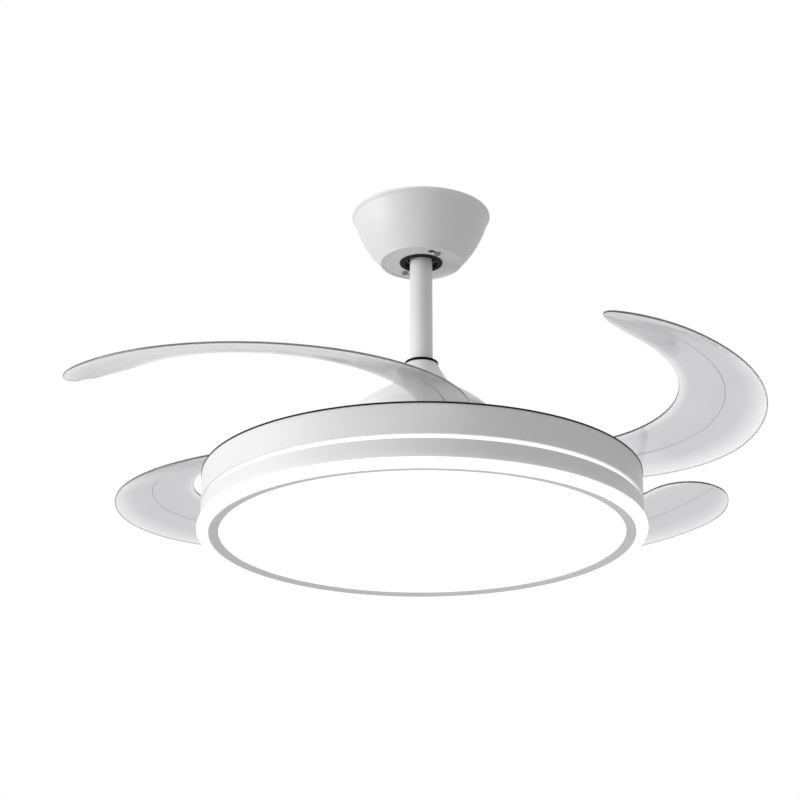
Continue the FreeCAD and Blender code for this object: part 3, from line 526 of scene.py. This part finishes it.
def blade_lug(number):
    """Plate that carries a blade on its pin: round the pin a half circle, then straight sides to a
    square end. At an angle about the pin the outline lies at the nearest of those, and the section
    runs from bore to outline."""
    spin = np.linspace(0, 2 * math.pi, LUG_STEPS, endpoint=False)
    forward = np.maximum(np.cos(spin), 1e-6)
    sideways = np.maximum(np.abs(np.sin(spin)), 1e-6)
    square_end = np.minimum(LUG_REACH / forward, LUG_R / sideways)
    outline = np.where(np.cos(spin) > 0, square_end, LUG_R)
    bore = np.full_like(spin, LUG_BORE)
    drawn_in = outline - LUG_BEVEL
    radius = np.stack([bore, drawn_in, outline, outline, drawn_in, bore], -1)
    low, high = LUG_LEVEL
    levels = [low, low, low + LUG_BEVEL, high - LUG_BEVEL, high, high]
    heading = spin + pin_heading()
    x = PIN[0] + radius * np.cos(heading)[:, None]
    y = PIN[1] + radius * np.sin(heading)[:, None]
    first = np.stack([x, y, np.broadcast_to(levels, radius.shape)], -1)
    points = turned_about_axis(first, number, BLADES)
    piece = grid_mesh("blade_lug_%d" % (number + 1), points, (True, True))
    weld(piece, 30)
    return piece


def coil_spring(number):
    """Spring round a blade's pin. A circle of the wire's radius is carried along a helix, whose
    climb eases to flat end turns, and each end closes to a point on the wire's middle."""
    low, high = (corner[2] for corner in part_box("return_springs"))
    run = np.linspace(0, 1, HELIX_STEPS)
    ring = np.linspace(0, 2 * math.pi, WIRE_STEPS, endpoint=False)
    climb = run - np.sin(4 * math.pi * run) / (4 * math.pi) * SPRING_EASING
    wire = np.full_like(run, SPRING_WIRE_R)
    wire[[0, -1]] = 0
    turn = 2 * math.pi * SPRING_TURNS * run[:, None]
    out = SPRING_R + wire[:, None] * np.cos(ring)
    rise = low + SPRING_WIRE_R + (high - low - 2 * SPRING_WIRE_R) * climb
    level = rise[:, None] + wire[:, None] * np.sin(ring)
    x = PIN[0] + out * np.cos(turn)
    y = PIN[1] + out * np.sin(turn)
    points = turned_about_axis(np.stack([x, y, level], -1), number, BLADES)
    piece = grid_mesh("coil_spring_%d" % (number + 1), points, (False, True))
    weld(piece, 60)
    return piece


def carried_round(name, profile):
    """Closed profile of (radius, level) points carried round the fan's axis."""
    spin = np.linspace(0, 2 * math.pi, ROUND_STEPS, endpoint=False)[:, None]
    radius, level = np.array(profile).T[:, None, :]
    level = np.broadcast_to(level, (ROUND_STEPS, level.size))
    points = np.stack([radius * np.cos(spin), radius * np.sin(spin), level], -1)
    piece = grid_mesh(name, points, (True, True))
    weld(piece, 40)
    return piece


def edge_bead():
    """Black strip along the lamp's upper edge, with a lip that laps over the edge and stands a hair
    off the band."""
    low, high = (corner[2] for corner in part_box("top_trim"))
    foot = np.array(STRIP_FOOT) + (LAMP_R, low)
    top = np.array(STRIP_TOP) + (LAMP_R, high)
    return carried_round("edge_bead", [*foot, *top])


def snap_ring():
    """Black ring round the canopy's hole: two rounded beads under the face with a groove between
    them, and a neck that goes up through the sheet."""
    return carried_round("snap_ring", np.array(COLLAR_PROFILE) + (0, COLLAR_FACE))


def seal_ring():
    """Black ring on the bell: a rounded bead round the rod, with a lip that laps over the bell's
    shoulder."""
    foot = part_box("bell_seal")[0][2]
    bead = np.array(SEAL_PROFILE) + (BELL_TOP_R, foot)
    bore_foot, bore_top = (SEAL_BORE_R, foot), (SEAL_BORE_R, foot + SEAL_HEIGHT)
    return carried_round("seal_ring", [bore_foot, *bead, bore_top])


def wound_coil(number):
    """Copper wound round one tooth. A rounded rectangle about the tooth is carried outwards along
    it, its half width held back by the next coil, with a ridge for each turn. Its sides are powers
    of the cosine and sine. A square bore beside the tooth closes the skin."""
    spots = np.linspace(0, 1, COIL_TURNS * TURN_STEPS + 1)
    loop = np.linspace(0, 2 * math.pi, LOOP_STEPS, endpoint=False)
    low, high = (corner[2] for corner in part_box("stator_coils"))
    reach = COIL_INSIDE + (COIL_OUTSIDE - COIL_INSIDE) * spots
    ridge = COIL_RIDGE * (np.abs(np.sin(math.pi * COIL_TURNS * spots)) - 1)
    half = np.minimum(COIL_BORE + COIL_BUILD, reach * COIL_TAPER) + ridge
    tall = (high - low) / 2 + ridge
    bore_tall = np.full_like(tall, (high - low) / 2 - COIL_BUILD)
    reach = np.concatenate([reach, reach[::-1]])[:, None]
    half = np.concatenate([half, np.full_like(half, COIL_BORE)])[:, None]
    tall = np.concatenate([tall, bore_tall])[:, None]
    power = np.repeat([COIL_CORNER, BORE_CORNER], spots.size)[:, None]
    y = half * np.sign(np.cos(loop)) * np.abs(np.cos(loop)) ** power
    z = (low + high) / 2 + tall * np.sign(np.sin(loop)) * np.abs(np.sin(loop)) ** power
    first = np.stack([np.broadcast_to(reach, y.shape), y, z], -1)
    points = turned_about_axis(first, number, COILS)
    piece = grid_mesh("wound_coil_%d" % (number + 1), points, (True, True))
    weld(piece, 50)
    return piece


def stands_for(piece, node, body, finish):
    """Gives a piece its finish, and puts it in a solid's place on that solid's body."""
    piece.data.materials.append(finish)
    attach(piece, body)
    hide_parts(node)


def pieces_over_solids(finishes):
    """Blades, springs, coils and the three black rings, which stand for their plainer solids."""
    matt = black_rubber("matt_rubber", 0.002, 0.04)
    black, rubber = finishes["black_plastic"], finishes["black_rubber"]
    stands_for(edge_bead(), "top_trim", "hanging_frame", black)
    stands_for(snap_ring(), "canopy_collar", "ceiling_mount", rubber)
    stands_for(seal_ring(), "bell_seal", "hanging_frame", matt)
    copper, zinc = finishes["copper"], finishes["zinc_steel"]
    for number in range(COILS):
        stands_for(wound_coil(number), "stator_coils", "hanging_frame", copper)
    for number in range(BLADES):
        stands_for(coil_spring(number), "return_springs", "rotor", zinc)
    sheet, block = finishes["clear_acrylic"], moulded_clear("clear_lug")
    for number in range(BLADES):
        node, body = "blade_%d" % (number + 1), "blade_arm_%d" % (number + 1)
        for piece, finish in ((sickle(number), sheet), (blade_lug(number), block)):
            stands_for(piece, node, body, finish)
            piece.visible_shadow = False


def straight_rays(tree):
    """One for rays from the eye, from gloss and through clear pieces, and nought for rays that
    gather light."""
    ray = tree.nodes.new("ShaderNodeLightPath")
    seen = ray.outputs["Is Camera Ray"]
    for kind in ("Is Glossy Ray", "Is Transmission Ray"):
        either = tree.nodes.new("ShaderNodeMath")
        either.operation = "MAXIMUM"
        tree.links.new(seen, either.inputs[0])
        tree.links.new(ray.outputs[kind], either.inputs[1])
        seen = either.outputs["Value"]
    return seen


def pale_floor():
    """Flat square grid far below the fan, pale, with a glow for straight rays."""
    line = np.linspace(-FLOOR_HALF, FLOOR_HALF, FLOOR_STEPS)
    u, v = np.meshgrid(line, line)
    floor = grid_mesh("floor", np.stack([u, v, np.full_like(u, FLOOR_Z)], -1))
    pale = Finish("floor_pale")
    pale.feed("Base Color", pale.blotch(pale.noise(pale.place(), 2.0), 0.86, 0.88))
    glow = pale.maths("MULTIPLY", straight_rays(pale.material.node_tree), FLOOR_GLOW)
    pale.feed("Emission Strength", glow)
    pale.set(Roughness=0.8, Emission_Color=(1, 1, 1, 1))
    floor.data.materials.append(pale.material)


def white_surround():
    """World that is white for straight rays, and a plain soft light for the rest."""
    world = bpy.data.worlds.new("white_surround")
    world.use_nodes = True
    tree = world.node_tree
    level = tree.nodes.new("ShaderNodeMapRange")
    level.inputs["To Min"].default_value = AMBIENT
    level.inputs["To Max"].default_value = 1.0
    backdrop = tree.nodes["Background"]
    tree.links.new(straight_rays(tree), level.inputs["Value"])
    tree.links.new(level.outputs["Result"], backdrop.inputs["Strength"])
    backdrop.inputs["Color"].default_value = (1, 1, 1, 1)
    bpy.context.scene.world = world


def studio_lights():
    """Square area lights: a broad one from the viewer's left, and weaker ones from below and above.
    They face the fan, and don't show through the clear blades."""
    for name, (place, size, power) in LIGHTS.items():
        data = bpy.data.lights.new(name, "AREA")
        data.energy = power
        data.size = size
        made = bpy.data.objects.new(name, data)
        made.location = place
        aim = Vector(LIGHT_TARGET) - Vector(place)
        made.rotation_euler = aim.to_track_quat("-Z", "Y").to_euler()
        made.visible_transmission = False
        bpy.context.scene.collection.objects.link(made)


def camera():
    """Looks up at the fan from the photograph's viewpoint."""
    data = bpy.data.cameras.new("camera")
    data.lens = CAMERA_LENS
    data.sensor_width = SENSOR
    made = bpy.data.objects.new("camera", data)
    made.location = CAMERA_PLACE
    made.rotation_euler = (math.pi / 2 + CAMERA_PITCH, 0.0, CAMERA_YAW)
    bpy.context.scene.collection.objects.link(made)
    bpy.context.scene.camera = made


pieces_over_solids(dress())
pale_floor()
white_surround()
studio_lights()
camera()
bpy.context.scene.view_settings.view_transform = "Standard"
